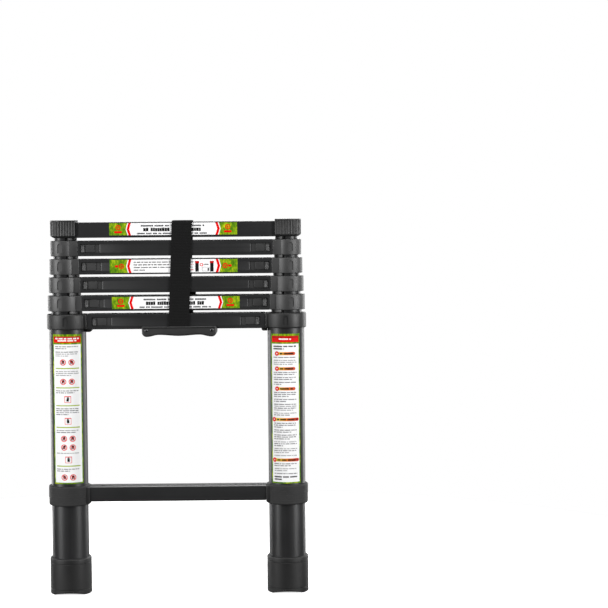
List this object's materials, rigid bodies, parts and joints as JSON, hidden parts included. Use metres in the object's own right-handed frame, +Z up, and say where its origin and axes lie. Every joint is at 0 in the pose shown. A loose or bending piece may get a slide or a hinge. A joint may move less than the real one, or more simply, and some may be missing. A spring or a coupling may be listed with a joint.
{
  "type": "telescoping ladder",
  "caption": "Telescoping ladder pushed closed: nested tube legs, stacked rungs with release buttons, a fixed bottom rung, rubber feet, a carrying handle and a strap.",
  "frame": {"origin": "on the floor, midway between the two feet", "axes": "+X to the right seen from the front, +Y to the back, +Z up along the legs"},
  "size_m": [0.447, 0.072, 0.643],
  "materials": {
    "leg_tube": "satin dark grey anodised",
    "rung_tube": "satin dark grey anodised",
    "collar_plastic": "moulded, fine grain",
    "button_plastic": "moulded, ribbed",
    "bush_nylon": "moulded nylon",
    "pin_steel": "zinc plated",
    "foot_rubber": "matte moulded",
    "handle_plastic": "moulded, fine grain",
    "strap_webbing": "woven, ribbed across"
  },
  "bodies": {
    "base": {"rung_1": "rung_tube", "tube_1_left": "leg_tube", "collar_1_left": "collar_plastic", "tube_1_right": "leg_tube", "collar_1_right": "collar_plastic", "bottom_rung": "rung_tube", "carrying_handle": "handle_plastic", "bottom_collar_left": "collar_plastic", "foot_left": "foot_rubber", "bottom_collar_right": "collar_plastic", "foot_right": "foot_rubber"},
    "section_2": {"rung_2": "rung_tube", "tube_2_left": "leg_tube", "collar_2_left": "collar_plastic", "tube_2_right": "leg_tube", "collar_2_right": "collar_plastic", "end_bush_left": "bush_nylon", "end_bush_right": "bush_nylon"},
    "section_3": {"rung_3": "rung_tube", "tube_3_left": "leg_tube", "collar_3_left": "collar_plastic", "tube_3_right": "leg_tube", "collar_3_right": "collar_plastic"},
    "section_4": {"rung_4": "rung_tube", "tube_4_left": "leg_tube", "collar_4_left": "collar_plastic", "tube_4_right": "leg_tube", "collar_4_right": "collar_plastic"},
    "section_5": {"rung_5": "rung_tube", "tube_5_left": "leg_tube", "collar_5_left": "collar_plastic", "tube_5_right": "leg_tube", "collar_5_right": "collar_plastic"},
    "section_6": {"rung_6": "rung_tube", "tube_6_left": "leg_tube", "top_cap_left": "collar_plastic", "tube_6_right": "leg_tube", "top_cap_right": "collar_plastic", "strap": "strap_webbing"},
    "button_1_left": {"release_button_1_left": "button_plastic", "lock_pin_1_left": "pin_steel"},
    "button_1_right": {"release_button_1_right": "button_plastic", "lock_pin_1_right": "pin_steel"},
    "button_2_left": {"release_button_2_left": "button_plastic", "lock_pin_2_left": "pin_steel"},
    "button_2_right": {"release_button_2_right": "button_plastic", "lock_pin_2_right": "pin_steel"},
    "button_3_left": {"release_button_3_left": "button_plastic", "lock_pin_3_left": "pin_steel"},
    "button_3_right": {"release_button_3_right": "button_plastic", "lock_pin_3_right": "pin_steel"},
    "button_4_left": {"release_button_4_left": "button_plastic", "lock_pin_4_left": "pin_steel"},
    "button_4_right": {"release_button_4_right": "button_plastic", "lock_pin_4_right": "pin_steel"},
    "button_5_left": {"release_button_5_left": "button_plastic", "lock_pin_5_left": "pin_steel"},
    "button_5_right": {"release_button_5_right": "button_plastic", "lock_pin_5_right": "pin_steel"}
  },
  "joints": [
    {"name": "section_2_slide", "type": "slide", "parent": "base", "child": "section_2", "axis": [0, 0, 1], "range_m": [0, 0.266]},
    {"name": "section_3_slide", "type": "slide", "parent": "section_2", "child": "section_3", "axis": [0, 0, 1], "range_m": [0, 0.266]},
    {"name": "section_4_slide", "type": "slide", "parent": "section_3", "child": "section_4", "axis": [0, 0, 1], "range_m": [0, 0.266]},
    {"name": "section_5_slide", "type": "slide", "parent": "section_4", "child": "section_5", "axis": [0, 0, 1], "range_m": [0, 0.266]},
    {"name": "section_6_slide", "type": "slide", "parent": "section_5", "child": "section_6", "axis": [0, 0, 1], "range_m": [0, 0.266]},
    {"name": "button_1_left_slide", "type": "slide", "parent": "base", "child": "button_1_left", "axis": [1, 0, 0], "range_m": [0, 0.008], "stiffness_N_per_m": 600, "springref_m": -0.004},
    {"name": "button_1_right_slide", "type": "slide", "parent": "base", "child": "button_1_right", "axis": [-1, 0, 0], "range_m": [0, 0.008], "stiffness_N_per_m": 600, "springref_m": -0.004},
    {"name": "button_2_left_slide", "type": "slide", "parent": "section_2", "child": "button_2_left", "axis": [1, 0, 0], "range_m": [0, 0.008], "stiffness_N_per_m": 600, "springref_m": -0.004},
    {"name": "button_2_right_slide", "type": "slide", "parent": "section_2", "child": "button_2_right", "axis": [-1, 0, 0], "range_m": [0, 0.008], "stiffness_N_per_m": 600, "springref_m": -0.004},
    {"name": "button_3_left_slide", "type": "slide", "parent": "section_3", "child": "button_3_left", "axis": [1, 0, 0], "range_m": [0, 0.008], "stiffness_N_per_m": 600, "springref_m": -0.004},
    {"name": "button_3_right_slide", "type": "slide", "parent": "section_3", "child": "button_3_right", "axis": [-1, 0, 0], "range_m": [0, 0.008], "stiffness_N_per_m": 600, "springref_m": -0.004},
    {"name": "button_4_left_slide", "type": "slide", "parent": "section_4", "child": "button_4_left", "axis": [1, 0, 0], "range_m": [0, 0.008], "stiffness_N_per_m": 600, "springref_m": -0.004},
    {"name": "button_4_right_slide", "type": "slide", "parent": "section_4", "child": "button_4_right", "axis": [-1, 0, 0], "range_m": [0, 0.008], "stiffness_N_per_m": 600, "springref_m": -0.004},
    {"name": "button_5_left_slide", "type": "slide", "parent": "section_5", "child": "button_5_left", "axis": [1, 0, 0], "range_m": [0, 0.008], "stiffness_N_per_m": 600, "springref_m": -0.004},
    {"name": "button_5_right_slide", "type": "slide", "parent": "section_5", "child": "button_5_right", "axis": [-1, 0, 0], "range_m": [0, 0.008], "stiffness_N_per_m": 600, "springref_m": -0.004}
  ]
}
